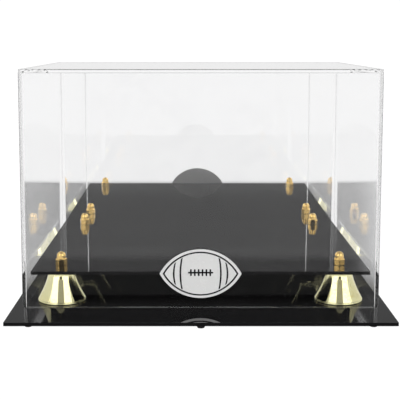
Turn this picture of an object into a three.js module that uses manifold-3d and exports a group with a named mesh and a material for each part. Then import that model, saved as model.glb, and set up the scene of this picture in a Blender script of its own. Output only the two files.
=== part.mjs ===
// Football display case: a clear lift-off cover with a mirror at its back, over a two-level
// gloss black stand whose upper plate rests on four flared gold risers.
// Millimetres, +Z up, front towards -Y. The origin is on the surface that the feet stand on,
// in the middle of the base plate.

import * as THREE from "three";
import { mergeVertices } from "three/addons/utils/BufferGeometryUtils.js";
import Module from "manifold-3d";

const wasm = await Module();
wasm.setup();

// ---- driving dimensions ----
const sheetThickness = 3.2; // every acrylic sheet in the case

const baseWidth = 341;
const baseDepth = 320.8;
const platformWidth = 308;
const platformDepth = 254.4;
const platformMiddleY = 16.9;
const plateCornerRadius = 0.6;

const footTopDiameter = 9;
const footBottomDiameter = 6.4;
const footHeight = 3.2;
const footChamfer = 0.5;
const footInsetX = 20;
const footInsetY = 10.5;
const middleFootInsetY = 6.8; // the middle feet stand a little nearer the plate's edge

const riserHeight = 30;
const riserRimRadius = 22.1;
const riserNeckRadius = 12.3;
const riserNeckHeight = 3; // straight collar under the platform
const riserLipHeight = 2; // straight lip at the rim
const riserWall = 1.3;
const riserFlarePower = 1.5; // how the flare widens with the distance below the neck
const riserSpacingX = 259;
const riserFrontY = -84;
const riserRearY = 112.6;

const screwDiameter = 4.8; // number 10 thread
const screwHeadDiameter = 11;
const screwHeadHeight = 2.2;
const screwHeadFlatDiameter = 7.8; // the flat in the middle of the head's outer face
const screwHeadEdgeDiameter = 10.3; // where the head's rounded edge turns up
const screwHeadEdgeHeight = 1.3;
const screwSlotWidth = 1.3;
const screwSlotDepth = 1.1;
const screwReach = 6.5; // how far the thread goes up into the nut
const screwPoint = 0.8; // chamfer at the thread's end
const holeDiameter = 5.6;

const nutAcrossFlats = 9.5;
const nutHexHeight = 6.2;
const nutHeight = 12.7;
const nutDomeDiameter = 8.3;
const nutDomeSkirt = 2.3; // straight part between the hexagon and the dome
const nutBoreDepth = 8.6;

const coverWidth = 324; // outside, at the bottom
const coverDepth = 266.7;
const coverHeight = 215;
const coverMiddleY = 18.6;
const coverDraft = 1.5; // each wall leans in by this much over the cover's height
const coverCornerRadius = 4.2;
const coverTopRadius = 3.6;
const coverInnerCornerRadius = 1;
const coverInnerTopRadius = 0.8;

const mirrorWidth = 311;
const mirrorHeight = 209.8;
const mirrorLift = 0.6; // above the base plate
const mirrorGap = 0.3; // adhesive film between the mirror and the cover's back wall

const badgeLength = 74;
const badgeHeight = 45;
const badgeThickness = 0.4;
const badgeGap = 0.3;
const badgeMiddleHeight = 32; // above the base plate

// ---- levels that follow from the sizes ----
const baseTop = footHeight + sheetThickness;
const platformBottom = baseTop + riserHeight;
const platformTop = platformBottom + sheetThickness;
const coverTop = baseTop + coverHeight;
const wallLean = Math.atan(coverDraft / coverHeight);

// ---- finishes ----
const finish = {
  blackAcrylic: { color: 0x0c0c0e, roughness: 0.05, metalness: 0 },
  clearAcrylic: { color: 0xeef2f3, roughness: 0.03, metalness: 0, transparent: true, opacity: 0.25 },
  mirror: { color: 0xd9dcdc, roughness: 0.02, metalness: 1 },
  paleGold: { color: 0xdcd08a, roughness: 0.12, metalness: 1 },
  brass: { color: 0xcf9a3a, roughness: 0.18, metalness: 1 },
  steel: { color: 0xb4b4b2, roughness: 0.3, metalness: 1 },
  rubber: { color: 0x17171a, roughness: 0.75, metalness: 0 },
  white: { color: 0xf6f6f4, roughness: 0.4, metalness: 0 },
};

const displayCase = new THREE.Group();

function addPart(name, geometry, finishName, parent = displayCase) {
  const mesh = new THREE.Mesh(geometry, new THREE.MeshStandardMaterial(finish[finishName]));
  mesh.name = name;
  parent.add(mesh);
  return mesh;
}

// ---- helpers: solids for cutting and joining, and outlines ----
function toSolid(geometry) {
  const bare = geometry.clone();
  bare.deleteAttribute("normal");
  bare.deleteAttribute("uv");
  const merged = mergeVertices(bare, 1e-4);
  return new wasm.Manifold(
    new wasm.Mesh({
      numProp: 3,
      vertProperties: new Float32Array(merged.attributes.position.array),
      triVerts: new Uint32Array(merged.index.array),
    }),
  );
}

function toGeometry(solid) {
  const mesh = solid.getMesh();
  const geometry = new THREE.BufferGeometry();
  geometry.setAttribute("position", new THREE.BufferAttribute(mesh.vertProperties, 3));
  geometry.setIndex(new THREE.BufferAttribute(mesh.triVerts, 1));
  geometry.computeVertexNormals();
  return geometry;
}

// A rectangle with rounded corners, centred on the origin.
function roundedRectangle(width, depth, radius) {
  const x = width / 2;
  const y = depth / 2;
  const shape = new THREE.Shape();
  shape.moveTo(-x + radius, -y);
  shape.lineTo(x - radius, -y);
  shape.absarc(x - radius, -y + radius, radius, -Math.PI / 2, 0);
  shape.lineTo(x, y - radius);
  shape.absarc(x - radius, y - radius, radius, 0, Math.PI / 2);
  shape.lineTo(-x + radius, y);
  shape.absarc(-x + radius, y - radius, radius, Math.PI / 2, Math.PI);
  shape.lineTo(-x, -y + radius);
  shape.absarc(-x + radius, -y + radius, radius, Math.PI, 1.5 * Math.PI);
  return shape;
}

function roundHole(x, y, diameter) {
  const hole = new THREE.Path();
  hole.absarc(x, y, diameter / 2, 0, 2 * Math.PI, true);
  return hole;
}

// Places of the four risers, with the name of each corner.
const riserPlaces = [];
for (const [row, y] of [["front", riserFrontY], ["rear", riserRearY]]) {
  for (const [side, sign] of [["left", -1], ["right", 1]]) {
    riserPlaces.push({ name: row + "_" + side, x: (sign * riserSpacingX) / 2, y });
  }
}

// ---- base and platform: flat sheets, drilled where the screws pass ----
function drilledPlate(width, depth, middleY) {
  const outline = roundedRectangle(width, depth, plateCornerRadius);
  for (const place of riserPlaces) {
    outline.holes.push(roundHole(place.x, place.y - middleY, holeDiameter));
  }
  return new THREE.ExtrudeGeometry(outline, {
    depth: sheetThickness,
    bevelEnabled: false,
    curveSegments: 10,
  });
}

addPart("base_plate", drilledPlate(baseWidth, baseDepth, 0), "blackAcrylic").position.z = footHeight;
addPart("platform_plate", drilledPlate(platformWidth, platformDepth, platformMiddleY), "blackAcrylic")
  .position.set(0, platformMiddleY, platformBottom);

// ---- feet: tapered rubber bumpers stuck under the base plate ----
function footGeometry() {
  const top = footTopDiameter / 2;
  const bottom = footBottomDiameter / 2;
  const profile = [
    new THREE.Vector2(0, 0),
    new THREE.Vector2(bottom - footChamfer, 0),
    new THREE.Vector2(bottom, footChamfer),
    new THREE.Vector2(top, footHeight),
    new THREE.Vector2(0, footHeight),
  ];
  return new THREE.LatheGeometry(profile, 24).rotateX(Math.PI / 2);
}

const footX = baseWidth / 2 - footInsetX;
const columns = [["left", -footX], ["middle", 0], ["right", footX]];
for (const [row, sign] of [["front", -1], ["rear", 1]]) {
  for (const [column, x] of columns) {
    const inset = column === "middle" ? middleFootInsetY : footInsetY;
    const foot = addPart("foot_" + row + "_" + column, footGeometry(), "rubber");
    foot.position.set(x, sign * (baseDepth / 2 - inset), 0);
  }
}

// ---- risers: flared hollow bells with a sleeve for the screw down the middle ----
function flareRadius(height) {
  const neckStart = riserHeight - riserNeckHeight;
  const share = Math.max(0, neckStart - height) / (neckStart - riserLipHeight);
  return riserNeckRadius + (riserRimRadius - riserNeckRadius) * Math.pow(share, riserFlarePower);
}

function riserGeometry() {
  const steps = 6;
  const bore = holeDiameter / 2;
  const sleeve = bore + riserWall;
  const ceiling = riserHeight - riserWall;
  const neckStart = riserHeight - riserNeckHeight;
  const points = [
    new THREE.Vector2(bore, 0),
    new THREE.Vector2(sleeve, 0),
    new THREE.Vector2(sleeve, ceiling),
    new THREE.Vector2(riserNeckRadius - riserWall, ceiling),
  ];
  for (let i = 0; i <= steps; i += 1) {
    const height = neckStart + ((riserLipHeight - neckStart) * i) / steps;
    points.push(new THREE.Vector2(flareRadius(height) - riserWall, height));
  }
  points.push(new THREE.Vector2(riserRimRadius - riserWall, 0));
  points.push(new THREE.Vector2(riserRimRadius, 0));
  for (let i = 0; i <= steps; i += 1) {
    const height = riserLipHeight + ((neckStart - riserLipHeight) * i) / steps;
    points.push(new THREE.Vector2(flareRadius(height), height));
  }
  points.push(new THREE.Vector2(riserNeckRadius, riserHeight));
  points.push(new THREE.Vector2(bore, riserHeight));
  points.push(points[0].clone());
  return new THREE.LatheGeometry(points, 28).rotateX(Math.PI / 2);
}

// ---- screws: thin slotted heads under the base plate, thread up into the nuts ----
function screwGeometry() {
  const shank = sheetThickness + riserHeight + sheetThickness + screwReach;
  const profile = [
    new THREE.Vector2(0, -screwHeadHeight),
    new THREE.Vector2(screwHeadFlatDiameter / 2, -screwHeadHeight),
    new THREE.Vector2(screwHeadEdgeDiameter / 2, -screwHeadEdgeHeight),
    new THREE.Vector2(screwHeadDiameter / 2, 0),
    new THREE.Vector2(screwDiameter / 2, 0),
    new THREE.Vector2(screwDiameter / 2, shank - screwPoint),
    new THREE.Vector2(screwDiameter / 2 - screwPoint, shank),
    new THREE.Vector2(0, shank),
  ];
  const turned = new THREE.LatheGeometry(profile, 20).rotateX(Math.PI / 2);
  const slot = new THREE.BoxGeometry(2 * screwHeadDiameter, screwSlotWidth, 2 * screwSlotDepth);
  slot.translate(0, 0, -screwHeadHeight);
  return toGeometry(toSolid(turned).subtract(toSolid(slot)));
}

// ---- acorn nuts: a hexagon with a dome, bored from below ----
function nutGeometry() {
  const corner = nutAcrossFlats / Math.sqrt(3);
  const hex = new THREE.CylinderGeometry(corner, corner, nutHexHeight, 6);
  hex.rotateX(Math.PI / 2).translate(0, 0, nutHexHeight / 2);

  // the dome starts halfway up the hexagon, so that the two join
  const domeSteps = 6;
  const dome = nutDomeDiameter / 2;
  const domeStart = nutHexHeight + nutDomeSkirt;
  const domeRise = nutHeight - domeStart;
  const domeProfile = [new THREE.Vector2(0, nutHexHeight / 2), new THREE.Vector2(dome, nutHexHeight / 2)];
  for (let i = 0; i < domeSteps; i += 1) {
    const angle = ((Math.PI / 2) * i) / domeSteps;
    domeProfile.push(
      new THREE.Vector2(dome * Math.cos(angle), domeStart + domeRise * Math.sin(angle)),
    );
  }
  domeProfile.push(new THREE.Vector2(0, nutHeight));
  const domed = new THREE.LatheGeometry(domeProfile, 24).rotateX(Math.PI / 2);

  // a wide 30 degree cone takes the hexagon's top corners off
  const coneSlope = Math.tan(Math.PI / 6);
  const coneApex = nutHexHeight + (nutAcrossFlats / 2) * coneSlope;
  const coneHeight = 2 * coneApex;
  const cone = new THREE.ConeGeometry(coneHeight / coneSlope, coneHeight, 36);
  cone.rotateX(Math.PI / 2).translate(0, 0, coneApex - coneHeight / 2);

  const bore = new THREE.CylinderGeometry(holeDiameter / 2, holeDiameter / 2, 2 * nutBoreDepth, 24);
  bore.rotateX(Math.PI / 2);
  const body = toSolid(hex).intersect(toSolid(cone)).add(toSolid(domed));
  return toGeometry(body.subtract(toSolid(bore)));
}

for (const place of riserPlaces) {
  addPart("riser_" + place.name, riserGeometry(), "paleGold").position.set(place.x, place.y, baseTop);
  addPart("screw_" + place.name, screwGeometry(), "steel").position.set(place.x, place.y, footHeight);
  const nut = addPart("acorn_nut_" + place.name, nutGeometry(), "brass");
  nut.position.set(place.x, place.y, platformTop);
}

// ---- cover: one open-bottomed shell whose walls lean in slightly towards the top ----
// A block with rounded upright corners and a rounded top, standing on z = 0, leaning in with height.
function leaningBlock(width, depth, height, cornerRadius, topRadius) {
  const skirt = 10; // part of the extrusion below z = 0, cut away after
  const outline = roundedRectangle(width, depth, cornerRadius);
  const block = new THREE.ExtrudeGeometry(outline, {
    depth: height + skirt - topRadius,
    curveSegments: 6,
    bevelEnabled: true,
    bevelThickness: topRadius,
    bevelSize: topRadius,
    bevelOffset: -topRadius,
    bevelSegments: 5,
  });
  block.translate(0, 0, -skirt);
  const position = block.attributes.position;
  for (let i = 0; i < position.count; i += 1) {
    const lean = (coverDraft * position.getZ(i)) / coverHeight;
    position.setX(i, position.getX(i) * (1 - (2 * lean) / width));
    position.setY(i, position.getY(i) * (1 - (2 * lean) / depth));
  }
  const below = new THREE.BoxGeometry(2 * width, 2 * depth, 4 * skirt);
  below.translate(0, 0, -2 * skirt);
  return toSolid(block).subtract(toSolid(below));
}

function coverGeometry() {
  const outer = leaningBlock(coverWidth, coverDepth, coverHeight, coverCornerRadius, coverTopRadius);
  const inner = leaningBlock(
    coverWidth - 2 * sheetThickness,
    coverDepth - 2 * sheetThickness,
    coverHeight - sheetThickness,
    coverInnerCornerRadius,
    coverInnerTopRadius,
  );
  return toGeometry(outer.subtract(inner));
}

const cover = new THREE.Group();
cover.position.set(0, coverMiddleY, baseTop);
displayCase.add(cover);
addPart("clear_cover", coverGeometry(), "clearAcrylic", cover);

// ---- mirror: a sheet stuck to the inside of the back wall, leaning with it ----
const backWall = new THREE.Group();
backWall.position.y = coverDepth / 2 - sheetThickness;
backWall.rotation.x = wallLean;
cover.add(backWall);
const mirror = new THREE.BoxGeometry(mirrorWidth, sheetThickness, mirrorHeight);
mirror.translate(0, -sheetThickness / 2 - mirrorGap, mirrorLift + mirrorHeight / 2);
addPart("mirror_panel", mirror, "mirror", backWall);

// ---- badge: a plain football shape in thin white film on the front wall ----
// The outline is two circular arcs that meet at the tips.
function badgeGeometry() {
  const halfLength = badgeLength / 2;
  const halfHeight = badgeHeight / 2;
  const arcRadius = (halfLength * halfLength + halfHeight * halfHeight) / (2 * halfHeight);
  const halfAngle = Math.asin(halfLength / arcRadius);
  const outline = new THREE.Shape();
  const up = Math.PI / 2;
  outline.absarc(0, halfHeight - arcRadius, arcRadius, up - halfAngle, up + halfAngle);
  outline.absarc(0, arcRadius - halfHeight, arcRadius, 3 * up - halfAngle, 3 * up + halfAngle);
  return new THREE.ExtrudeGeometry(outline, {
    depth: badgeThickness,
    bevelEnabled: false,
    curveSegments: 20,
  });
}

const frontWall = new THREE.Group();
frontWall.position.y = -coverDepth / 2;
frontWall.rotation.x = Math.PI / 2 - wallLean;
cover.add(frontWall);
addPart("front_badge", badgeGeometry(), "white", frontWall).position.set(0, badgeMiddleHeight, badgeGap);

export default displayCase;
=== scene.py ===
import math

import bmesh
import bpy
import numpy as np
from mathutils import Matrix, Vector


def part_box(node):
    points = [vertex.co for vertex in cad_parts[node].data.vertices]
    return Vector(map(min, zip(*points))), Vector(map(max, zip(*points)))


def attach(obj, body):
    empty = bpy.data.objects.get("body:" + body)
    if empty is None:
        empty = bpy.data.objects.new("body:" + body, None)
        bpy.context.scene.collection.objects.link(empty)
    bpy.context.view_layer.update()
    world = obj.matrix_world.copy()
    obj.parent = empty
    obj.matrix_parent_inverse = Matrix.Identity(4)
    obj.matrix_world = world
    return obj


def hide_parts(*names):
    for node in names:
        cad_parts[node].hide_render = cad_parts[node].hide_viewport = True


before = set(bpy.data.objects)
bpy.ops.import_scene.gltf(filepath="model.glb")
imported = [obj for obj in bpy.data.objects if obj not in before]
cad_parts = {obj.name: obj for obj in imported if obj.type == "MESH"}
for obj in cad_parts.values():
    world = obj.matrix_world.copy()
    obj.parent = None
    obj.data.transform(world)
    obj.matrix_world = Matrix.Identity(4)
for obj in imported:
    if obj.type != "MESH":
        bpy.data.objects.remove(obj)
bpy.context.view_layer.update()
print("frame loaded with", len(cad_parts), "nodes")

mm = 0.001
acrylicIndex = 1.49
weldDistance = 0.002 * mm
corners = ("front_left", "front_right", "rear_left", "rear_right")


# a CAD node's lowest and highest corners
def boxOf(node):
    low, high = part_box(node)
    return np.array(low), np.array(high)


# middle = (lowest + highest) / 2
def middleOf(node):
    low, high = boxOf(node)
    return (low + high) / 2


# rows by columns of points become quads: each quad runs along its row first and then up to the next row,
# so it faces outwards where columns go anticlockwise and rows go up the outside
def gridFaces(rowCount, columnCount, closedRows):
    row, column = np.meshgrid(np.arange(rowCount if closedRows else rowCount - 1),
                              np.arange(columnCount), indexing="ij")
    row, column = row.ravel(), column.ravel()
    nextRow, nextColumn = (row + 1) % rowCount, (column + 1) % columnCount
    quads = np.stack([row * columnCount + column, row * columnCount + nextColumn,
                      nextRow * columnCount + nextColumn, nextRow * columnCount + column], 1)
    across = np.stack([column, column + 1, column + 1, column], 1) / columnCount
    along = np.stack([row, row, row + 1, row + 1], 1)
    return quads, row, column, across, along


# a surface from a grid of points. Its UV runs round the piece across, and in metres along the profile up.
# Faces in both flatRows and flatColumns stay flat, the rest are smooth, and doubled points are welded
def surfacePiece(name, points, closedRows=False, capped=False, flatRows=(), flatColumns=(), dropped=None):
    rowCount, columnCount = points.shape[:2]
    quads, row, column, across, along = gridFaces(rowCount, columnCount, closedRows)
    steps = np.linalg.norm(np.diff(points[:, 0], axis=0, append=points[:1, 0]), axis=1)
    travelled = np.concatenate([[0], np.cumsum(steps)])
    smooth = ~(np.isin(row, list(flatRows)) & np.isin(column, list(flatColumns)))
    uv = np.stack([across, travelled[along]], 2)
    if dropped is not None:
        kept = ~dropped(row, column)
        quads, smooth, uv = quads[kept], smooth[kept], uv[kept]
    faces, uv = quads.tolist(), uv.reshape(-1, 2)
    if capped:
        last = (rowCount - 1) * columnCount
        faces += [list(range(columnCount))[::-1], list(range(last, last + columnCount))]
        flat = points[[0, -1]].reshape(-1, 3)[:, :2]
        flat = np.concatenate([flat[:columnCount][::-1], flat[columnCount:]])
        uv = np.concatenate([uv, flat])
        smooth = np.concatenate([smooth, [False, False]])
    mesh = bpy.data.meshes.new(name)
    mesh.from_pydata(points.reshape(-1, 3).tolist(), [], faces)
    mesh.polygons.foreach_set("use_smooth", smooth)
    mesh.uv_layers.new(name="surface").data.foreach_set("uv", uv.astype(np.float32).ravel())
    bm = bmesh.new()
    bm.from_mesh(mesh)
    bmesh.ops.remove_doubles(bm, verts=bm.verts, dist=weldDistance)
    bm.to_mesh(mesh)
    bm.free()
    return bpy.data.objects.new(name, mesh)


# several surfaces as one piece, welded where a distance is given. Their own objects and meshes are removed
def joinSurfaces(name, parts, weld=None):
    joined = bmesh.new()
    for part in parts:
        joined.from_mesh(part.data)
    if weld:
        bmesh.ops.remove_doubles(joined, verts=joined.verts, dist=weld)
    mesh = bpy.data.meshes.new(name)
    joined.to_mesh(mesh)
    joined.free()
    for part in parts:
        spare = part.data
        bpy.data.objects.remove(part)
        bpy.data.meshes.remove(spare)
    return bpy.data.objects.new(name, mesh)


# links a finished piece, gives it its material, ties it to its body and hides the CAD nodes it stands for.
# The slot name is not used
def finishPiece(piece, material, body, slotName, *nodes):
    bpy.context.scene.collection.objects.link(piece)
    piece.data.materials.append(material)
    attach(piece, body)
    if nodes:
        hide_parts(*nodes)
    return piece


# part of a circle from one direction to another, in degrees: middle plus radius times (cos a, sin a)
def arc(middle, radius, start, end, steps):
    angle = np.radians(np.linspace(start, end, steps + 1))
    return np.stack([middle[0] + radius * np.cos(angle), middle[1] + radius * np.sin(angle)], 1)


# a profile of (radius, height) turned about the upright line through middle:
# x = middle + radius cos a, y = middle + radius sin a, z = height
def turnedPiece(name, profile, middle, segments, closedRows=False, sharp=35):
    angle = np.linspace(0, 2 * np.pi, segments, endpoint=False)
    radius, height = profile[:, :1], profile[:, 1:]
    points = np.stack([middle[0] + radius * np.cos(angle), middle[1] + radius * np.sin(angle),
                       middle[2] + height + 0 * angle], 2)
    piece = surfacePiece(name, points, closedRows)
    piece.data.set_sharp_from_angle(angle=math.radians(sharp))
    return piece


# rounded rectangles, one for each row: a corner is its circle's middle plus radius (cos a, sin a),
# and the four corners follow one another anticlockwise
def roundedOutlines(halfWidth, halfDepth, radius, cornerSteps):
    quarter = np.linspace(0, 90, cornerSteps + 1)
    angle = np.radians(np.concatenate([quarter + turn for turn in (0, 90, 180, 270)]))
    signX = np.repeat([1, -1, -1, 1], cornerSteps + 1)
    signY = np.repeat([1, 1, -1, -1], cornerSteps + 1)
    sizes = (halfWidth, halfDepth, radius)
    halfWidth, halfDepth, radius = (np.asarray(size, float)[:, None] for size in sizes)
    return np.stack([signX * (halfWidth - radius) + radius * np.cos(angle),
                     signY * (halfDepth - radius) + radius * np.sin(angle)], 2)


# the columns of roundedOutlines where a straight side begins
def straightColumns(cornerSteps):
    return [(cornerSteps + 1) * (side + 1) - 1 for side in range(4)]


# small node helpers. A socket is fed with a number, a colour or another node's output
def feed(tree, socket, value):
    if isinstance(value, tuple):
        socket.default_value = (*value, 1)
    elif isinstance(value, (int, float)):
        socket.default_value = value
    else:
        tree.links.new(value, socket)


def addNode(tree, kind, **settings):
    node = tree.nodes.new(kind)
    for key, value in settings.items():
        setattr(node, key, value)
    return node


def mathNode(tree, operation, first, second=None):
    node = addNode(tree, "ShaderNodeMath", operation=operation)
    for socket, value in zip(node.inputs, (first, second)):
        if value is not None:
            feed(tree, socket, value)
    return node.outputs[0]


# a smooth step from one number to another while the value goes from low to high
def ramp(tree, value, low, high, toLow=0.0, toHigh=1.0):
    node = addNode(tree, "ShaderNodeMapRange", interpolation_type="SMOOTHSTEP")
    limits = {"Value": value, "From Min": low, "From Max": high, "To Min": toLow, "To Max": toHigh}
    for name, number in limits.items():
        feed(tree, node.inputs[name], number)
    return node.outputs["Result"]


# a Mix node for plain values or for colours, whose sockets sit at different places in the node
def mixNode(tree, kind, factor, first, second):
    node = addNode(tree, "ShaderNodeMix", data_type=kind)
    start, result = {"FLOAT": (2, 0), "RGBA": (6, 2)}[kind]
    feed(tree, node.inputs[0], factor)
    feed(tree, node.inputs[start], first)
    feed(tree, node.inputs[start + 1], second)
    return node.outputs[result]


# soft noise from 0 to 1, with scale features to the metre
def noiseValue(tree, where, scale, detail=2.0):
    node = addNode(tree, "ShaderNodeTexNoise")
    feed(tree, node.inputs["Vector"], where)
    feed(tree, node.inputs["Scale"], scale)
    feed(tree, node.inputs["Detail"], detail)
    return node.outputs["Fac"]


# a shader node group with named sockets; inputs are (name, kind, value)
def newGroup(name, inputs, outputs):
    tree = bpy.data.node_groups.new(name, "ShaderNodeTree")
    for socketName, kind, value in inputs:
        socket = tree.interface.new_socket(socketName, in_out="INPUT", socket_type=kind)
        if value is not None:
            socket.default_value = value
    for socketName, kind in outputs:
        tree.interface.new_socket(socketName, in_out="OUTPUT", socket_type=kind)
    return tree, tree.nodes.new("NodeGroupInput"), tree.nodes.new("NodeGroupOutput")


# specks of settled dust: small cells of a Voronoi pattern, thinned out by a broad noise
dustPattern = {
    "speckEdge": (0.05, 0.13),
    "rareAbove": (0.72, 0.8),
    "patchScale": 18.0,
    "patchEdge": (0.45, 0.7),
}


def buildDustGroup():
    look = dustPattern
    tree, given, result = newGroup(
        "settledDust", [("Vector", "NodeSocketVector", None), ("Specks", "NodeSocketFloat", 400.0),
                        ("Amount", "NodeSocketFloat", 0.2)], [("Mask", "NodeSocketFloat")])
    cells = addNode(tree, "ShaderNodeTexVoronoi", feature="F1")
    tree.links.new(given.outputs["Vector"], cells.inputs["Vector"])
    tree.links.new(given.outputs["Specks"], cells.inputs["Scale"])
    speck = ramp(tree, cells.outputs["Distance"], *look["speckEdge"], 1, 0)
    chosen = addNode(tree, "ShaderNodeSeparateColor")
    tree.links.new(cells.outputs["Color"], chosen.inputs[0])
    rare = ramp(tree, chosen.outputs[0], *look["rareAbove"])
    patchy = ramp(tree, noiseValue(tree, given.outputs["Vector"], look["patchScale"]), *look["patchEdge"])
    mask = mathNode(tree, "MULTIPLY", mathNode(tree, "MULTIPLY", speck, rare), patchy)
    tree.links.new(mathNode(tree, "MULTIPLY", mask, given.outputs["Amount"]), result.inputs["Mask"])
    return tree


# soft handling marks: two sizes of noise multiplied, put out as a mask and as a value between Low and High
smudgePattern = {
    "broadEdge": (0.42, 0.68),
    "fineEdge": (0.35, 0.7),
    "fineScale": 6.0,
    "fineDetail": 6.0,
}


def buildSmudgeGroup():
    look = smudgePattern
    tree, given, result = newGroup(
        "handlingMarks", [("Vector", "NodeSocketVector", None), ("Size", "NodeSocketFloat", 12.0),
                          ("Low", "NodeSocketFloat", 0.02), ("High", "NodeSocketFloat", 0.06)],
        [("Value", "NodeSocketFloat"), ("Mask", "NodeSocketFloat")])
    where, size = given.outputs["Vector"], given.outputs["Size"]
    fineSize = mathNode(tree, "MULTIPLY", size, look["fineScale"])
    broad = ramp(tree, noiseValue(tree, where, size), *look["broadEdge"])
    fine = ramp(tree, noiseValue(tree, where, fineSize, look["fineDetail"]), *look["fineEdge"])
    mask = mathNode(tree, "MULTIPLY", broad, fine)
    between = addNode(tree, "ShaderNodeMapRange")
    tree.links.new(mask, between.inputs["Value"])
    tree.links.new(given.outputs["Low"], between.inputs["To Min"])
    tree.links.new(given.outputs["High"], between.inputs["To Max"])
    tree.links.new(between.outputs["Result"], result.inputs["Value"])
    tree.links.new(mask, result.inputs["Mask"])
    return tree


# rings left by turning and polishing: noise that changes fast along the profile and hardly round the piece
ringPattern = {
    "around": 4.0,
    "detail": 4.0,
}


def buildTurnedGroup():
    look = ringPattern
    tree, given, result = newGroup(
        "turnedRings", [("Vector", "NodeSocketVector", None), ("Rings", "NodeSocketFloat", 2500.0)],
        [("Height", "NodeSocketFloat")])
    split = addNode(tree, "ShaderNodeSeparateXYZ")
    tree.links.new(given.outputs["Vector"], split.inputs[0])
    joined = addNode(tree, "ShaderNodeCombineXYZ")
    tree.links.new(mathNode(tree, "MULTIPLY", split.outputs[0], look["around"]), joined.inputs[0])
    tree.links.new(mathNode(tree, "MULTIPLY", split.outputs[1], given.outputs["Rings"]), joined.inputs[1])
    tree.links.new(noiseValue(tree, joined.outputs[0], 1.0, look["detail"]), result.inputs["Height"])
    return tree


dustGroup, smudgeGroup, turnedGroup = buildDustGroup(), buildSmudgeGroup(), buildTurnedGroup()


# a new material with its Principled shader, and the piece's Object coordinates
def newMaterial(name, **values):
    material = bpy.data.materials.new(name)
    material.use_nodes = True
    tree = material.node_tree
    shader = tree.nodes["Principled BSDF"]
    for key, value in values.items():
        feed(tree, shader.inputs[key.replace("_", " ")], value)
    coordinates = addNode(tree, "ShaderNodeTexCoord")
    return material, tree, shader, coordinates


# a node group placed in a material with this material's own values
def useGroup(tree, group, vector, **values):
    node = addNode(tree, "ShaderNodeGroup", node_tree=group)
    tree.links.new(vector, node.inputs["Vector"])
    for key, value in values.items():
        node.inputs[key].default_value = value
    return node


# handling marks turn one colour into another, and take the roughness from its first value to its second.
# Without a second colour the first one stays plain
def addMarks(tree, shader, where, size, colour, marked, roughness=None):
    marks = useGroup(tree, smudgeGroup, where, Size=size)
    if marked:
        colour = mixNode(tree, "RGBA", marks.outputs["Mask"], colour, marked)
    feed(tree, shader.inputs["Base Color"], colour)
    if roughness:
        marks.inputs["Low"].default_value, marks.inputs["High"].default_value = roughness
        tree.links.new(marks.outputs["Value"], shader.inputs["Roughness"])


# fine relief: the normal tilts as a height from 0 to 1 times distance, in metres, would tilt it
def addBump(tree, shader, height, distance, strength=1.0):
    node = addNode(tree, "ShaderNodeBump")
    node.inputs["Distance"].default_value = distance
    node.inputs["Strength"].default_value = strength
    tree.links.new(height, node.inputs["Height"])
    tree.links.new(node.outputs[0], shader.inputs["Normal"])


# the two flat sheets: gloss black acrylic with a faintly wavy surface, a little dust and handling marks
blackSheet = {
    "colour": (0.0045, 0.0045, 0.005),
    "dustColour": (0.16, 0.16, 0.17),
    "dust": 0.1,
    "specks": 240.0,
    "markSize": 14.0,
    "roughness": (0.01, 0.016),
    "waveScale": 22.0,
    "waviness": 0.002 * mm,
    "edgeRadius": 0.2 * mm,
    "edgeSteps": 5,
    "cornerRadius": 0.6 * mm,
    "cornerSteps": 6,
    "holeRadius": 2.8 * mm,
    "sideSteps": 12,
}


# black, paler and rougher by the dust that lies on it
def blackSheetMaterial():
    look = blackSheet
    material, tree, shader, coordinates = newMaterial("glossBlackAcrylic", IOR=acrylicIndex)
    where = coordinates.outputs["Object"]
    dust = useGroup(tree, dustGroup, where, Specks=look["specks"], Amount=look["dust"]).outputs["Mask"]
    low, high = look["roughness"]
    marks = useGroup(tree, smudgeGroup, where, Size=look["markSize"], Low=low, High=high)
    dusty = mixNode(tree, "RGBA", dust, look["colour"], look["dustColour"])
    tree.links.new(dusty, shader.inputs["Base Color"])
    tree.links.new(mathNode(tree, "ADD", marks.outputs["Value"], dust), shader.inputs["Roughness"])
    addBump(tree, shader, noiseValue(tree, where, look["waveScale"], 1.0), look["waviness"])
    return material


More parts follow.
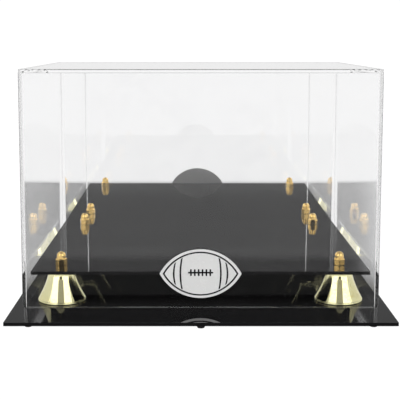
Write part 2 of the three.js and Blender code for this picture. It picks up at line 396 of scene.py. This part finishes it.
# a quarter of a sheet round its screw hole. Columns are points on the quarter's outline in order of
# their angle about the hole. Rows go down the hole, out underneath, up the rounded outer edge and back in
# over the top. Where the outline is a seam with the next quarter, the side faces are dropped
def sheetQuarter(hole, outer, seam, low, high):
    look = blackSheet
    share = np.linspace(0, 1, look["sideSteps"] + 1)
    side = np.sign(outer - seam)
    radius, edge, edgeSteps = look["cornerRadius"], look["edgeRadius"], look["edgeSteps"]
    turn = np.radians(np.linspace(0, 90, look["cornerSteps"] + 1))
    inner = outer - side * radius
    cornerNormals = np.stack([side[0] * np.cos(turn), side[1] * np.sin(turn)], 1)
    cornerPoints = inner + radius * cornerNormals
    sideX = np.stack([np.full_like(share, outer[0]), seam[1] + (inner[1] - seam[1]) * share], 1)[:-1]
    sideY = np.stack([seam[0] + (inner[0] - seam[0]) * share, np.full_like(share, outer[1])], 1)[:-1]
    seamX = np.stack([np.full_like(share, seam[0]), seam[1] + (outer[1] - seam[1]) * share], 1)[:-1]
    seamY = np.stack([seam[0] + (outer[0] - seam[0]) * share, np.full_like(share, seam[1])], 1)[1:-1]
    outline = np.concatenate([sideX, cornerPoints, sideY, seamX, seamY])
    normals = np.concatenate([np.tile([side[0], 0], (len(sideX), 1)), cornerNormals,
                              np.tile([0, side[1]], (len(sideY), 1)),
                              np.zeros((len(seamX) + len(seamY), 2))])
    angle = np.arctan2(outline[:, 1] - hole[1], outline[:, 0] - hole[0])
    order = np.argsort(angle)
    outline, normals, angle = outline[order], normals[order], angle[order]
    atHole = hole + look["holeRadius"] * np.stack([np.cos(angle), np.sin(angle)], 1)
    lowEdge = arc((0, edge), edge, -90, 0, edgeSteps) - (edge, 0)
    highEdge = arc((0, high - low - edge), edge, 0, 90, edgeSteps) - (edge, 0)
    profile = np.concatenate([lowEdge, highEdge])
    rims = outline[None] + profile[:, None, :1] * normals[None]
    plan = np.concatenate([atHole[None], atHole[None], rims])
    heights = np.concatenate([[high, low], low + profile[:, 1]])
    points = np.concatenate([plan, np.broadcast_to(heights[:, None, None], (*plan.shape[:2], 1))], 2)
    onEdge = normals.any(axis=1)
    sideFace = onEdge & np.roll(onEdge, -1)
    lastRow = len(points) - 1

    def dropped(row, column):
        return (row >= 2) & (row < lastRow) & ~sideFace[column]

    return points, dropped, (1, 1 + len(lowEdge), lastRow)


# a sheet from four quarters that meet on the middle lines, each round its own screw hole
def drilledSheet(name, node, material, slotName):
    low, high = boxOf(node)
    holes = np.array([middleOf("screw_" + corner)[:2] for corner in corners])
    seam = np.array([0.0, (holes[0, 1] + holes[-1, 1]) / 2])
    quarters = []
    for hole in holes:
        outer = np.where(hole > seam, high[:2], low[:2])
        points, dropped, flatRows = sheetQuarter(hole, outer, seam, low[2], high[2])
        quarters.append(surfacePiece(name, points, closedRows=True, flatRows=flatRows,
                                     flatColumns=range(points.shape[1]), dropped=dropped))
    return finishPiece(joinSurfaces(name, quarters, weldDistance), material, "stand", slotName, node)


sheetMaterial = blackSheetMaterial()
drilledSheet("baseSheet", "base_plate", sheetMaterial, "black_acrylic")
drilledSheet("platformSheet", "platform_plate", sheetMaterial, "black_acrylic")
print("base and platform sheets made")

# six tapered rubber feet with soft edges
rubberFoot = {
    "colour": (0.010, 0.010, 0.011),
    "greyed": (0.035, 0.035, 0.037),
    "markSize": 260.0,
    "roughness": (0.55, 0.8),
    "grainScale": 2600.0,
    "grain": 0.02 * mm,
    "grainStrength": 0.6,
    "topRadius": 4.5 * mm,
    "bottomRadius": 3.2 * mm,
    "soften": 0.55 * mm,
    "sideTilt": 15,
    "soleSteps": 6,
    "shoulderSteps": 5,
    "segments": 48,
}


# dull black rubber, greyed by handling, with a fine grain
def footMaterial():
    look = rubberFoot
    material, tree, shader, coordinates = newMaterial("footRubber", IOR=1.5)
    where = coordinates.outputs["Object"]
    addMarks(tree, shader, where, look["markSize"], look["colour"], look["greyed"], look["roughness"])
    addBump(tree, shader, noiseValue(tree, where, look["grainScale"]), look["grain"], look["grainStrength"])
    return material


# the foot's profile: a flat sole, a rounded edge, a straight taper out to the top, and a small rounded
# shoulder a third as round
def footProfile(height):
    look = rubberFoot
    soft, tilt = look["soften"], look["sideTilt"]
    small = soft / 3
    sole = arc((look["bottomRadius"] - soft, soft), soft, -90, -tilt, look["soleSteps"])
    shoulder = arc((look["topRadius"] - small, height - small), small, -tilt, 90, look["shoulderSteps"])
    return np.concatenate([[[0, 0], [look["bottomRadius"] / 2, 0]], sole, shoulder, [[0, height]]])


feetMaterial = footMaterial()
for row in ("front", "rear"):
    for column in ("left", "middle", "right"):
        node = f"foot_{row}_{column}"
        low, high = boxOf(node)
        middle = (*middleOf(node)[:2], low[2])
        foot = turnedPiece(f"foot.{row}.{column}", footProfile(high[2] - low[2]), middle,
                           rubberFoot["segments"])
        finishPiece(foot, feetMaterial, "stand", "foot_rubber", node)
print("feet made")

# the flared risers, spun metal plated in pale gold, with a bead and a fine groove round the rim
goldRiser = {
    "colour": (0.90, 0.86, 0.50),
    "deeper": (0.82, 0.74, 0.36),
    "markSize": 55.0,
    "roughness": (0.05, 0.12),
    "ringScale": 2400.0,
    "rings": 0.0006 * mm,
    "rimRadius": 22.1 * mm,
    "neckRadius": 12.3 * mm,
    "neckHeight": 3.0 * mm,
    "lipHeight": 2.4 * mm,
    "wall": 1.3 * mm,
    "boreRadius": 2.8 * mm,
    "flarePower": 1.5,
    "flareRows": 26,
    "soften": 0.3 * mm,
    "ceilingGap": 0.4 * mm,
    "beadRadius": 0.75 * mm,
    "grooveRadius": 0.7 * mm,
    "grooveOut": 0.05 * mm,
    "grooveRise": 0.6,
    "beadTurn": (-90, 55),
    "beadSteps": 10,
    "grooveTurn": (235, 115),
    "grooveSteps": 8,
    "topSteps": 5,
    "segments": 144,
    "sharpAngle": 28,
}


# pale gold, deeper where it is handled, with faint rings from spinning
def riserMaterial():
    look = goldRiser
    material, tree, shader, coordinates = newMaterial("paleGoldPlate", Metallic=1.0)
    addMarks(tree, shader, coordinates.outputs["Object"], look["markSize"], look["colour"], look["deeper"],
             look["roughness"])
    rings = useGroup(tree, turnedGroup, coordinates.outputs["UV"], Rings=look["ringScale"])
    addBump(tree, shader, rings.outputs["Height"], look["rings"])
    return material


# radius of the flare at a height: the neck's radius, plus the rest times the share of the way down to the
# lip raised to the flare's power
def flareRadius(height, total):
    look = goldRiser
    neckStart = total - look["neckHeight"]
    share = np.clip((neckStart - height) / (neckStart - look["lipHeight"]), 0, 1)
    return look["neckRadius"] + (look["rimRadius"] - look["neckRadius"]) * share ** look["flarePower"]


# the riser's closed profile: up the outside of the screw sleeve, out under the top, down inside the flare,
# round the bead and the groove, up the outside of the flare, in over the top and back down the bore
def riserProfile(total):
    look = goldRiser
    wall, rim, bore, soft = look["wall"], look["rimRadius"], look["boreRadius"], look["soften"]
    bead, groove, neck = look["beadRadius"], look["grooveRadius"], look["neckRadius"]
    heights = np.linspace(total - look["neckHeight"], look["lipHeight"], look["flareRows"])
    flare = np.stack([flareRadius(heights, total), heights], 1)
    ceiling = total - wall
    inside = flare - (wall, 0)
    inside = inside[inside[:, 1] < ceiling - look["ceilingGap"]]
    grooveMiddle = (rim + look["grooveOut"], 2 * bead + look["grooveRise"] * groove)
    beadArc = arc((rim - bead, bead), bead, *look["beadTurn"], look["beadSteps"])
    grooveArc = arc(grooveMiddle, groove, *look["grooveTurn"], look["grooveSteps"])
    top = arc((neck - soft, total - soft), soft, 0, 90, look["topSteps"])
    return np.concatenate([
        [[bore, 0], [bore + wall, 0], [bore + wall, ceiling], [neck - wall, ceiling]],
        inside, [[rim - wall, soft], [rim - wall + soft, 0]],
        beadArc, grooveArc, flare[::-1], top, [[bore, total]]])


riserFinish = riserMaterial()
for corner in corners:
    low, high = boxOf("riser_" + corner)
    middle = (*middleOf("riser_" + corner)[:2], low[2])
    riser = turnedPiece("riser." + corner, riserProfile(high[2] - low[2]), middle, goldRiser["segments"],
                        closedRows=True, sharp=goldRiser["sharpAngle"])
    finishPiece(riser, riserFinish, "stand", "riser_gold", "riser_" + corner)
print("risers made")

# acorn nuts in brass: a hexagon with eased corners, its top cut by a 30 degree cone, and a dome on top
acornNut = {
    "colour": (0.78, 0.54, 0.19),
    "deeper": (0.64, 0.40, 0.12),
    "markSize": 160.0,
    "roughness": (0.03, 0.08),
    "ringScale": 3000.0,
    "rings": 0.001 * mm,
    "acrossFlats": 9.5 * mm,
    "cornerCut": 0.985,
    "crown": 0.97,
    "foot": 0.93,
    "ease": 0.2 * mm,
    "hexHeight": 6.2 * mm,
    "domeRadius": 4.15 * mm,
    "domeSkirt": 2.3 * mm,
    "boreRadius": 2.8 * mm,
    "boreDepth": 8.6 * mm,
    "lowerRows": (0.25, 1.25),                              # heights above the lower cone, in eases
    "upperRows": ((0, -2), (0, -1), (-0.3, -0.2), (-1, 0.2)),   # out and up from the upper edge, in eases
    "flatSteps": 8,
    "neckSteps": 4,
    "domeSteps": 15,
    "sharpAngle": 24,
    "turns": {"front_left": 38, "front_right": -3, "rear_left": 12, "rear_right": 25},
}


# brass, deeper where it is handled, with faint rings from turning
def nutMaterial():
    look = acornNut
    material, tree, shader, coordinates = newMaterial("nutBrass", Metallic=1.0)
    addMarks(tree, shader, coordinates.outputs["Object"], look["markSize"], look["colour"], look["deeper"],
             look["roughness"])
    rings = useGroup(tree, turnedGroup, coordinates.outputs["UV"], Rings=look["ringScale"])
    addBump(tree, shader, rings.outputs["Height"], look["rings"])
    return material


# the nut as rows of rings. The hexagon's radius at angle a is the apothem over cos of the angle from the
# nearest flat's middle, capped by the corner circle. The cones' heights change with the radius by tan 30
# degrees, and a dome on a straight skirt ends the nut
def nutPoints(middle, total, turn):
    look = acornNut
    apothem, hexHeight, ease = look["acrossFlats"] / 2, look["hexHeight"], look["ease"]
    angle = np.linspace(0, 2 * np.pi, 6 * look["flatSteps"] + 6, endpoint=False)
    fromFlat = np.abs((angle + np.pi / 6) % (np.pi / 3) - np.pi / 6)
    hexRadius = np.minimum(apothem / np.cos(fromFlat), look["cornerCut"] * apothem / math.cos(math.pi / 6))
    ones = np.ones_like(angle)
    slope = math.tan(math.pi / 6)
    crown, foot = look["crown"] * apothem, look["foot"] * apothem
    hexTop = hexHeight - (hexRadius - crown) * slope
    hexBottom = (hexRadius - foot) * slope
    rings = [(0 * ones, look["boreDepth"] * ones), (look["boreRadius"] * ones, look["boreDepth"] * ones),
             (look["boreRadius"] * ones, 0 * ones), (foot * ones, 0 * ones)]
    rings += [(hexRadius, hexBottom + up * ease) for up in look["lowerRows"]]
    rings += [(hexRadius + out * ease, hexTop + up * ease) for out, up in look["upperRows"]]
    rings.append((crown * ones, hexHeight * ones))
    dome, skirt = look["domeRadius"], hexHeight + look["domeSkirt"]
    neck = arc((dome + ease, hexHeight + ease), ease, 270, 180, look["neckSteps"])
    rise = np.radians(np.linspace(0, 90, look["domeSteps"] + 1))
    cap = np.stack([dome * np.cos(rise), skirt + (total - skirt) * np.sin(rise)], 1)
    rings += [(radius * ones, height * ones) for radius, height in np.concatenate([neck, cap])]
    radius, height = (np.stack(part) for part in zip(*rings))
    turned = angle + math.radians(turn)
    return np.stack([middle[0] + radius * np.cos(turned), middle[1] + radius * np.sin(turned),
                     middle[2] + height], 2)


nutFinish = nutMaterial()
for corner in corners:
    low, high = boxOf("acorn_nut_" + corner)
    middle = (*middleOf("acorn_nut_" + corner)[:2], low[2])
    nut = surfacePiece("nut." + corner, nutPoints(middle, high[2] - low[2], acornNut["turns"][corner]))
    nut.data.set_sharp_from_angle(angle=math.radians(acornNut["sharpAngle"]))
    finishPiece(nut, nutFinish, "stand", "nut_brass", "acorn_nut_" + corner)
print("nuts made")

# screws keep the CAD shape and get a zinc plated finish
zincScrew = {
    "colour": (0.55, 0.55, 0.53),
    "deeper": (0.38, 0.38, 0.37),
    "markSize": 240.0,
    "roughness": (0.22, 0.42),
}


# dull zinc, darker where it is handled
def screwMaterial():
    look = zincScrew
    material, tree, shader, coordinates = newMaterial("zincPlate", Metallic=1.0)
    addMarks(tree, shader, coordinates.outputs["Object"], look["markSize"], look["colour"], look["deeper"],
             look["roughness"])
    return material


screwFinish = screwMaterial()
for corner in corners:
    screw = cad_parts["screw_" + corner]
    screw.data.materials.clear()
    screw.data.materials.append(screwFinish)
print("screws finished")

# the clear cover: one shell, walls leaning in a little, with rounded corners and top edges
clearCover = {
    "colour": (0.992, 0.992, 0.994),
    "smudged": (0.978, 0.979, 0.982),
    "markSize": 9.0,
    "thickness": 3.2 * mm,
    "draft": 1.5 * mm,
    "cornerRadius": 3.2 * mm,
    "topRadius": 1.0 * mm,
    "innerCornerRadius": 0.8 * mm,
    "innerTopRadius": 0.4 * mm,
    "leastRadius": 0.3 * mm,
    "rimEase": 0.25 * mm,
    "innerTighten": 0.6,
    "outerTighten": 0.9,
    "cornerSteps": 10,
    "innerTopSteps": 4,
    "rimSteps": 3,
    "topSteps": 10,
}


# clear, a shade less so where it is handled
def coverMaterial():
    look = clearCover
    material, tree, shader, coordinates = newMaterial("clearAcrylic", IOR=acrylicIndex, Roughness=0.0,
                                                      Transmission_Weight=1.0)
    addMarks(tree, shader, coordinates.outputs["Object"], look["markSize"], look["colour"], look["smudged"])
    return material


# the walls' angle to the upright: the draft over the height
def wallLean():
    low, high = boxOf("clear_cover")
    return math.atan(clearCover["draft"] / (high[2] - low[2]))


# the shell's rows are rounded rectangles, and each wall leans in by the draft times its share of the height.
# They start at the inner top, go down the inside, round the bottom rim, up the outside and over the outer
# top edge. As a row moves in, its corners' radius shrinks by the tighten value times that way
def coverPiece(material):
    look = clearCover
    low, high = boxOf("clear_cover")
    total = high[2] - low[2]
    sheet, ease, steps = look["thickness"], look["rimEase"], look["cornerSteps"]
    inner, outer = look["innerTopRadius"], look["topRadius"]
    half = (high[:2] - low[:2]) / 2
    innerTop = arc((inner, total - sheet - inner), inner, 90, 180, look["innerTopSteps"]) + (sheet, 0)
    innerRim = arc((sheet - ease, ease), ease, 0, -90, look["rimSteps"])
    outerRim = arc((ease, ease), ease, 270, 180, look["rimSteps"])
    outerTop = arc((outer, total - outer), outer, 180, 90, look["topSteps"])
    profile = np.concatenate([innerTop, innerRim, outerRim, outerTop])
    inset, height = profile[:, 0], profile[:, 1]
    innerCount = len(innerTop) + len(innerRim)
    isInner = np.arange(len(profile)) < innerCount
    lean = look["draft"] * height / total
    radius = np.where(isInner, look["innerCornerRadius"] - (inset - sheet) * look["innerTighten"],
                      look["cornerRadius"] - inset * look["outerTighten"])
    outlines = roundedOutlines(half[0] - inset - lean, half[1] - inset - lean,
                               np.maximum(radius, look["leastRadius"]), steps)
    middle = (low + high) / 2
    points = np.concatenate([outlines + middle[:2], np.broadcast_to(
        (low[2] + height)[:, None, None], (*outlines.shape[:2], 1))], 2)
    flatRows = (len(innerTop) - 1, innerCount - 1, innerCount + len(outerRim) - 1)
    shell = surfacePiece("coverShell", points, capped=True, flatRows=flatRows,
                         flatColumns=straightColumns(steps))
    return finishPiece(shell, material, "cover", "clear_acrylic", "clear_cover")


coverPiece(coverMaterial())
print("cover made")

# the mirror: a silvered front sheet with a clear gloss over it, and a painted back
backMirror = {
    "silver": (0.94, 0.94, 0.94),
    "silverSmudged": (0.92, 0.92, 0.922),
    "markSize": 10.0,
    "gloss": 0.6,
    "paint": (0.30, 0.31, 0.32),
    "paintWorn": (0.36, 0.37, 0.38),
    "paintMarkSize": 30.0,
    "paintRoughness": (0.45, 0.6),
    "peelScale": 900.0,
    "peel": 0.03 * mm,
    "peelStrength": 0.5,
    "paintThickness": 0.35 * mm,
    "paintGap": 0.02 * mm,
    "paintInset": 0.2 * mm,
    "edgeRadius": 0.25 * mm,
    "thinnest": 2.5,              # a thin slab's edge radius is its thickness over this
    "edgeSteps": 3,
    "cornerRadius": 0.6 * mm,
    "cornerSteps": 5,
}


# bright silver under a clear coat, a shade darker where it is handled
def mirrorMaterial():
    look = backMirror
    material, tree, shader, coordinates = newMaterial("silveredAcrylic", Metallic=1.0, Roughness=0.0,
                                                      Coat_Weight=look["gloss"], Coat_Roughness=0.0,
                                                      Coat_IOR=acrylicIndex)
    addMarks(tree, shader, coordinates.outputs["Object"], look["markSize"], look["silver"],
             look["silverSmudged"])
    return material


# grey paint, paler where it is worn, with an orange-peel surface
def paintMaterial():
    look = backMirror
    material, tree, shader, coordinates = newMaterial("mirrorBackPaint")
    where = coordinates.outputs["Object"]
    addMarks(tree, shader, where, look["paintMarkSize"], look["paint"], look["paintWorn"],
             look["paintRoughness"])
    addBump(tree, shader, noiseValue(tree, where, look["peelScale"]), look["peel"], look["peelStrength"])
    return material


# a slab standing on its long edge: a rounded rectangle with eased edges, from near to far in thickness,
# turned so that its width runs along X and its height leans forward by the given angle about foot
def standingSlab(name, width, height, near, far, foot, lean):
    look = backMirror
    ease, edgeSteps = min(look["edgeRadius"], (far - near) / look["thinnest"]), look["edgeSteps"]
    profile = np.concatenate([arc((ease, ease), ease, 270, 180, edgeSteps),
                              arc((ease, far - near - ease), ease, 180, 90, edgeSteps)])
    outlines = roundedOutlines(width / 2 - profile[:, 0], height / 2 - profile[:, 0],
                               look["cornerRadius"] + 0 * profile[:, 0], look["cornerSteps"])
    across, up = outlines[..., 0], outlines[..., 1] + height / 2
    out = near + profile[:, 1][:, None] + 0 * across
    points = np.stack([foot[0] + across, foot[1] - out * math.cos(lean) - up * math.sin(lean),
                       foot[2] - out * math.sin(lean) + up * math.cos(lean)], 2)
    return surfacePiece(name, points, capped=True, flatRows=(edgeSteps,),
                        flatColumns=straightColumns(look["cornerSteps"]))


# the sheet's height along the lean is the box's height, less the thickness times sin lean, over cos lean.
# Its foot is as much above the box's floor
def mirrorPieces():
    look = backMirror
    low, high = boxOf("mirror_panel")
    lean, sheet = wallLean(), clearCover["thickness"]
    height = (high[2] - low[2] - sheet * math.sin(lean)) / math.cos(lean)
    foot = ((low[0] + high[0]) / 2, high[1], low[2] + sheet * math.sin(lean))
    width = high[0] - low[0]
    paint, inset = look["paintThickness"], look["paintInset"]
    silver = standingSlab("mirrorSheet", width, height, paint, sheet, foot, lean)
    finishPiece(silver, mirrorMaterial(), "cover", "mirror_back", "mirror_panel")
    backing = standingSlab("mirrorBackPaint", width - 2 * inset, height - 2 * inset, 0,
                           paint - look["paintGap"], (foot[0], foot[1], foot[2] + inset), lean)
    finishPiece(backing, paintMaterial(), "cover", "mirror_back", "mirror_panel")


mirrorPieces()
print("mirror made")

# the badge: a plain football in white film, with its outline, stripes and laces printed in black
frontBadge = {
    "film": (0.90, 0.90, 0.89),
    "filmShade": (0.84, 0.84, 0.83),
    "print": (0.012, 0.012, 0.014),
    "markSize": 70.0,
    "roughness": (0.25, 0.4),
    "length": 74 * mm,
    "height": 45 * mm,
    "tipInset": 2.6,
    "outlineSteps": 48,
    "filmThickness": 0.3 * mm,
    "printThickness": 0.1 * mm,
    "ring": (2.2 * mm, 3.5 * mm),
    "stripes": ((17.5 * mm, 19.0 * mm), (23.5 * mm, 25.0 * mm)),
    "stripeBow": 1.4 * mm,
    "stripeSteps": 14,
    "laceLength": 23 * mm,
    "laceWidth": 1.5 * mm,
    "laceHeight": 6.4 * mm,
    "laceCount": 6,
    "laceSpread": 0.38,
    "laceRise": 1.0 * mm,
    "barEndSteps": 8,
}


# satin film or print, with a shade where it is handled unless the colour is plain
def filmMaterial(name, colour, shade):
    look = frontBadge
    material, tree, shader, coordinates = newMaterial(name)
    addMarks(tree, shader, coordinates.outputs["Object"], look["markSize"], colour, shade, look["roughness"])
    return material


# half the height of a lens at x: two circular arcs that meet at its tips, at y = plus and minus this
def lensHeight(x, length, height):
    radius = (length ** 2 / 4 + height ** 2 / 4) / height
    return np.sqrt(np.maximum(radius ** 2 - x ** 2, 0)) - (radius - height / 2)


# anticlockwise outline of a lens: along the lower arc from the left tip, then back along the upper one
def lensOutline(length, height):
    x = length / 2 * np.sin(np.linspace(-np.pi / 2, np.pi / 2, frontBadge["outlineSteps"] + 1))
    y = lensHeight(x, length, height)
    return np.concatenate([np.stack([x, -y], 1)[:-1], np.stack([x, y], 1)[::-1][:-1]])


# length and height of a lens that lies inside the badge by inset, and by more at its pointed tips
def insetLens(inset):
    return frontBadge["length"] - frontBadge["tipInset"] * inset, frontBadge["height"] - 2 * inset


# badge points: x across, y up the leaning front wall, z out from it
def onFrontWall(points):
    middle, lean = middleOf("front_badge"), wallLean()
    out = points[..., 2] - (frontBadge["filmThickness"] + frontBadge["printThickness"]) / 2
    return np.stack([middle[0] + points[..., 0],
                     middle[1] + points[..., 1] * math.sin(lean) - out * math.cos(lean),
                     middle[2] + points[..., 1] * math.cos(lean) + out * math.sin(lean)], 2)


# a flat shape between two heights, from rows that are its outline at the bottom and at the top
def flatShape(name, outline, low, high):
    rows = np.stack([np.column_stack([outline, np.full(len(outline), z)]) for z in (low, high)])
    return surfacePiece(name, onFrontWall(rows), capped=True, flatRows=(0,), flatColumns=range(len(outline)))


# a flat ring between an inner and an outer outline
def flatRing(name, inner, outer, low, high):
    rows = np.stack([np.column_stack([shape, np.full(len(shape), z)])
                     for shape, z in ((inner, high), (inner, low), (outer, low), (outer, high))])
    return surfacePiece(name, onFrontWall(rows), closedRows=True, flatRows=range(4),
                        flatColumns=range(len(outer)))


# an upright band between two x positions that reaches the outline and bows towards the middle at its ends:
# x = start - bow times (y / reach) squared, and the same with end
def bowedBand(name, side, start, end, low, high):
    look = frontBadge
    length, height = insetLens(look["ring"][1])
    share = np.linspace(-1, 1, look["stripeSteps"] + 1)
    bow = look["stripeBow"] * share ** 2
    reach = lensHeight(np.array([start, end]), length, height)
    near = np.stack([start - bow, share * reach[0]], 1)
    far = np.stack([end - bow, share * reach[1]], 1)
    outline = np.concatenate([near[::-1], far]) * (side, 1)
    if side < 0:
        outline = outline[::-1]
    return flatShape(name, outline, low, high)


# a bar with round ends, centred on middle
def roundBar(name, middle, length, width, upright, low, high):
    end = arc((length / 2 - width / 2, 0), width / 2, -90, 90, frontBadge["barEndSteps"])
    outline = np.concatenate([end, -end])
    if upright:
        outline = outline[:, ::-1] * (-1, 1)
    return flatShape(name, outline + middle, low, high)


# the white film, and on it the ring, the stripes, the seam and the laces as one black print
def badgePieces():
    look = frontBadge
    film, top = look["filmThickness"], look["filmThickness"] + look["printThickness"]
    rise, width = look["laceRise"], look["laceWidth"]
    white = flatShape("badgeFilm", lensOutline(look["length"], look["height"]), 0, film)
    finishPiece(white, filmMaterial("whiteFilm", look["film"], look["filmShade"]), "cover", "badge_white",
                "front_badge")
    outer, inner = (lensOutline(*insetLens(inset)) for inset in look["ring"])
    parts = [flatRing("outlinePart", inner, outer, film, top)]
    parts += [bowedBand("stripePart", side, start, end, film, top)
              for start, end in look["stripes"] for side in (-1, 1)]
    parts.append(roundBar("seamPart", (0, rise), look["laceLength"], width, False, film, top))
    laces = np.linspace(-1, 1, look["laceCount"]) * look["laceSpread"] * look["laceLength"]
    parts += [roundBar("lacePart", (x, rise), look["laceHeight"], width, True, film, top) for x in laces]
    finishPiece(joinSurfaces("badgePrint", parts), filmMaterial("blackPrint", look["print"], None),
                "cover", "badge_white", "front_badge")


badgePieces()
print("badge made")

# studio: a plain pale floor and a soft surround. In reflections the floor in front of the case is dark, as
# if a black cloth lay there, so that the front wall and the black sheets stay clear. Heights in the surround
# are sines of the angle above level, aside is the sine of the angle from straight ahead, and ahead its cosine
studio = {
    "floorSize": 14.0,
    "floorShade": 0.08,
    "floorGlow": 0.99,
    "floorInGloss": 0.91,
    "floorBehind": 0.86,
    "behindFrom": (-0.1, 0.1),
    "clothTone": 0.055,
    "clothDepth": (0.31, 0.40),
    "clothWidth": (0.17, 0.20),
    "outerClothDepth": (0.75, 1.1),
    "surround": 0.85,
    "overhead": 0.4,
    "overheadFrom": (0.82, 0.92),
    "boxes": 2.2,
    "boxesAhead": (0.42, 0.5),
    "boxesHeights": ((0.05, 0.1), (0.82, 0.9)),
    "gapAhead": (0.0, 0.2),
    "upperGap": 0.42,
    "upperGapAside": (0.3, 0.38),
    "upperGapHeights": ((0.25, 0.29), (0.8, 0.86)),
    "lowerGap": 0.12,
    "lowerGapAside": (0.17, 0.22),
    "lowerGapHeights": ((0.08, 0.11), (0.25, 0.29)),
    "rear": 0.24,
    "rearAhead": (-0.92, -0.84),
    "rearHeights": ((0.1, 0.16), (0.4, 0.5)),
    "backdrop": 1.05,
    "bounces": {"max_bounces": 40, "transmission_bounces": 32, "glossy_bounces": 24},
}


# the floor shows plain and pale to the camera with a faint soft shadow. Rays that come out of the clear
# cover see a small cloth and the other ones a deeper cloth, and behind the case it is a little less bright
def floorPiece():
    look = studio
    mesh = bpy.data.meshes.new("floor")
    half = look["floorSize"]
    mesh.from_pydata([(-half, -half, 0), (half, -half, 0), (half, half, 0), (-half, half, 0)], [],
                     [(0, 1, 2, 3)])
    floor = bpy.data.objects.new("floor", mesh)
    bpy.context.scene.collection.objects.link(floor)
    material, tree, shader, coordinates = newMaterial(
        "paleFloor", Roughness=1.0, Specular_IOR_Level=0.0, Base_Color=(look["floorShade"],) * 3,
        Emission_Color=(1.0, 1.0, 1.0))
    split = addNode(tree, "ShaderNodeSeparateXYZ")
    tree.links.new(coordinates.outputs["Object"], split.inputs[0])
    aside = mathNode(tree, "ABSOLUTE", split.outputs[0])
    ahead = mathNode(tree, "MULTIPLY", split.outputs[1], -1.0)
    tones = (look["clothTone"], look["floorInGloss"])
    offCloth = mathNode(tree, "MAXIMUM", ramp(tree, aside, *look["clothWidth"]),
                        ramp(tree, ahead, *look["clothDepth"]))
    near = ramp(tree, offCloth, 0.0, 1.0, *tones)
    outer = ramp(tree, ahead, *look["outerClothDepth"], *tones)
    rays = addNode(tree, "ShaderNodeLightPath")
    shown = mixNode(tree, "FLOAT", rays.outputs["Is Transmission Ray"], outer, near)
    shown = mixNode(tree, "FLOAT", ramp(tree, ahead, *look["behindFrom"], 1, 0), shown, look["floorBehind"])
    shown = mixNode(tree, "FLOAT", rays.outputs["Is Camera Ray"], shown, look["floorGlow"])
    tree.links.new(shown, shader.inputs["Emission Strength"])
    mesh.materials.append(material)


# the surround's brightness by direction: a pale tent, dim overhead, two bright softboxes in front with a
# dimmer gap between them, wide above and narrow below, and a dimmer patch low behind
def buildSurround():
    look = studio
    world = bpy.data.worlds.new("studioSurround")
    bpy.context.scene.world = world
    world.use_nodes = True
    tree = world.node_tree
    background = tree.nodes["Background"]
    coordinates = addNode(tree, "ShaderNodeTexCoord")
    split = addNode(tree, "ShaderNodeSeparateXYZ")
    tree.links.new(coordinates.outputs["Generated"], split.inputs[0])
    x, y, z = split.outputs
    level = mathNode(tree, "SQRT", mathNode(tree, "ADD", mathNode(tree, "MULTIPLY", x, x),
                                            mathNode(tree, "MULTIPLY", y, y)))
    aside = mathNode(tree, "DIVIDE", mathNode(tree, "ABSOLUTE", x), level)
    ahead = mathNode(tree, "DIVIDE", mathNode(tree, "MULTIPLY", y, -1.0), level)

    # one between two heights, times the masks that bound it sideways
    def patch(heights, *edges):
        mask = mathNode(tree, "MULTIPLY", ramp(tree, z, *heights[0]), ramp(tree, z, *heights[1], 1, 0))
        for edge in edges:
            mask = mathNode(tree, "MULTIPLY", mask, edge)
        return mask

    inFront = ramp(tree, ahead, *look["gapAhead"])
    patches = (
        (look["overhead"], ramp(tree, z, *look["overheadFrom"])),
        (look["boxes"], patch(look["boxesHeights"], ramp(tree, ahead, *look["boxesAhead"]))),
        (look["upperGap"], patch(look["upperGapHeights"], inFront,
                                 ramp(tree, aside, *look["upperGapAside"], 1, 0))),
        (look["lowerGap"], patch(look["lowerGapHeights"], inFront,
                                 ramp(tree, aside, *look["lowerGapAside"], 1, 0))),
        (look["rear"], patch(look["rearHeights"], ramp(tree, ahead, *look["rearAhead"], 1, 0))),
    )
    total = look["surround"]
    for tone, mask in patches:
        total = mixNode(tree, "FLOAT", mask, total, tone)
    rays = addNode(tree, "ShaderNodeLightPath")
    shown = mixNode(tree, "FLOAT", rays.outputs["Is Camera Ray"], total, look["backdrop"])
    tree.links.new(shown, background.inputs["Strength"])
    background.inputs["Color"].default_value = (1, 1, 1, 1)


floorPiece()
buildSurround()
# light that travels inside the clear walls needs more bounces than usual
for name, count in studio["bounces"].items():
    setattr(bpy.context.scene.cycles, name, count)
print("studio made")

# camera: a long lens in front, a little above the cover's top, looking slightly down
view = {
    "place": (-0.00813, -0.95039, 0.24728),
    "down": 9.309,
    "lens": 85.6,
    "sensor": 36.0,
    "shift": (0.02105, -0.0125),
    "clip": (0.01, 100),
}
cameraData = bpy.data.cameras.new("camera")
cameraData.lens = view["lens"]
cameraData.sensor_width = view["sensor"]
cameraData.shift_x, cameraData.shift_y = view["shift"]
cameraData.clip_start, cameraData.clip_end = view["clip"]
camera = bpy.data.objects.new("camera", cameraData)
camera.location = view["place"]
camera.rotation_euler = (math.radians(90 - view["down"]), 0, 0)
bpy.context.scene.collection.objects.link(camera)
bpy.context.scene.camera = camera
bpy.context.scene.view_settings.view_transform = "Standard"
